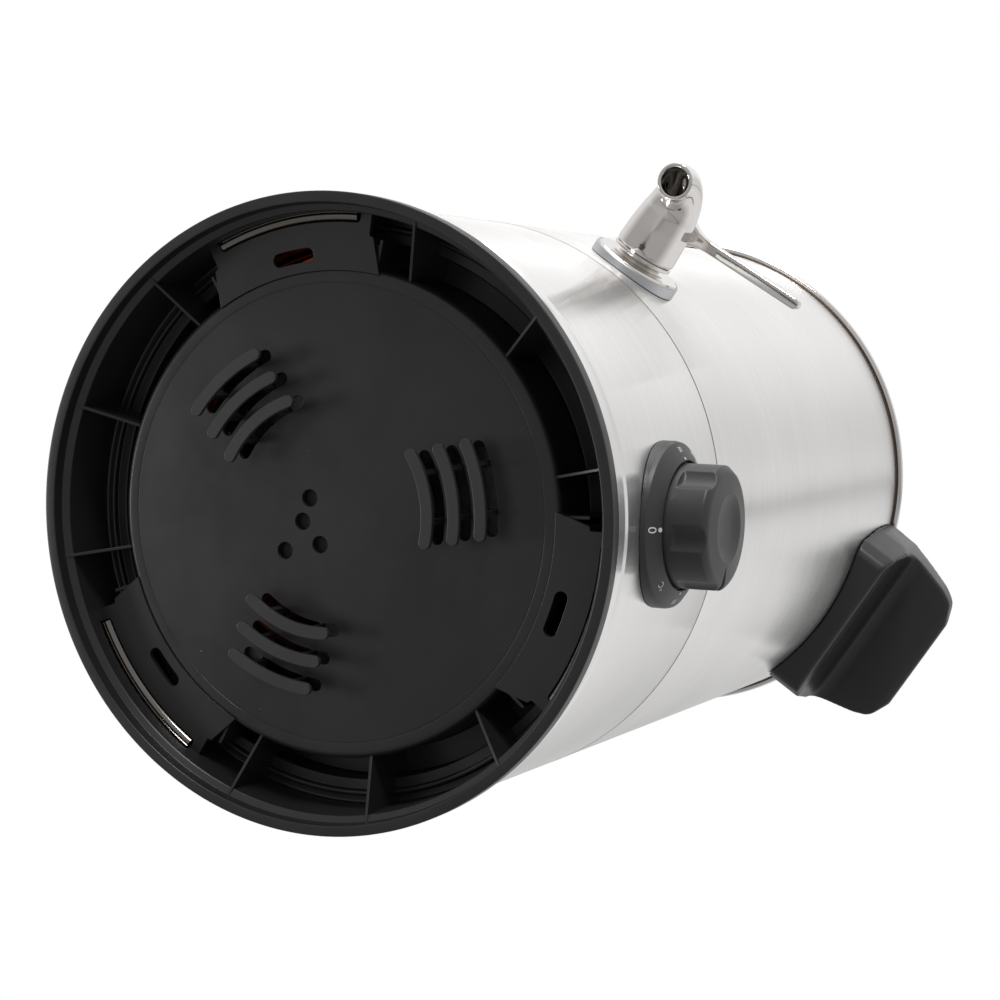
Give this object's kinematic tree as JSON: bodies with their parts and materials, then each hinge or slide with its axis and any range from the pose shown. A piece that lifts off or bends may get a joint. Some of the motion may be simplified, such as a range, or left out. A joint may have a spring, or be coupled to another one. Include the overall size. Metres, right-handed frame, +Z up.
{
  "type": "hot drink urn",
  "caption": "Free-standing electric hot-drink urn: steel vessel over a heating base, lever tap, thermostat knob, side handles and lift-off lid.",
  "frame": {"origin": "middle of the bounding box's bottom face, on the plane the urn stands on; the vessel's axis is at Y = +24.175 mm", "axes": "+Z up along the vessel's axis; the tap points to -Y; the handles are on the +X and -X sides; right-handed"},
  "size_m": [0.3372, 0.2984, 0.4523],
  "materials": {
    "black_pp": "moulded matt black polypropylene",
    "black_abs": "moulded satin charcoal plastic",
    "bakelite": "moulded heat-proof phenolic, semi-gloss",
    "brushed_steel": "stainless sheet brushed round the body",
    "polished_steel": "polished stainless steel",
    "plain_steel": "plain zinc-plated steel",
    "aluminium_plate": "plain aluminium",
    "element_sheath": "dark oxidised steel sheath",
    "silicone": "pale grey silicone",
    "ptfe": "white fluoropolymer",
    "switch_plastic": "pale heat-resistant insulator",
    "copper": "bright copper",
    "red_wire": "red-brown silicone insulation",
    "blue_wire": "blue silicone insulation",
    "earth_wire": "green-yellow silicone insulation"
  },
  "bodies": {
    "body": {"base_moulding": "black_pp", "base_screw_1": "plain_steel", "base_screw_2": "plain_steel", "base_screw_3": "plain_steel", "base_screw_4": "plain_steel", "lower_skirt": "brushed_steel", "vessel": "brushed_steel", "heater_plate": "aluminium_plate", "heating_element": "element_sheath", "thermal_cutout": "switch_plastic", "heat_shield": "aluminium_plate", "shield_post_1": "plain_steel", "shield_post_2": "plain_steel", "shield_post_3": "plain_steel", "thermostat_body": "switch_plastic", "thermostat_nut": "plain_steel", "dial_plate": "black_abs", "capillary_bulb": "copper", "terminal_block": "bakelite", "cord_gland": "black_pp", "live_wire": "red_wire", "neutral_wire": "blue_wire", "earth_wire": "earth_wire", "tap_outer_gasket": "silicone", "tap_flange": "polished_steel", "tap_inner_gasket": "silicone", "tap_tail": "polished_steel", "tap_lock_nut": "polished_steel", "tap_body": "polished_steel", "tap_seat_inner": "ptfe", "tap_seat_outer": "ptfe", "tap_packing": "ptfe", "tap_gland_nut": "polished_steel", "handle_right": "bakelite", "handle_left": "bakelite", "handle_screw_1": "polished_steel", "handle_screw_2": "polished_steel", "handle_screw_3": "polished_steel", "handle_screw_4": "polished_steel"},
    "knob_set": {"knob": "black_abs", "thermostat_shaft": "plain_steel"},
    "tap_lever_set": {"tap_lever": "polished_steel", "tap_stem": "polished_steel", "tap_ball": "polished_steel", "lever_grub_screw": "plain_steel"},
    "lid_set": {"lid": "brushed_steel", "lid_knob": "bakelite", "lid_screw": "plain_steel"}
  },
  "joints": [
    {"name": "knob_turn", "type": "hinge", "parent": "body", "child": "knob_set", "pos_m": [0.10584, -0.04456, 0.0686], "axis": [-0.8387, 0.5446, 0], "range_deg": [-275, 5]},
    {"name": "lever_turn", "type": "hinge", "parent": "body", "child": "tap_lever_set", "pos_m": [0, -0.11982, 0.1815], "axis": [0, 0, -1], "range_deg": [0, 90]},
    {"name": "lid_lift", "type": "slide", "parent": "body", "child": "lid_set", "axis": [0, 0, 1], "range_m": [0, 0.12]}
  ]
}
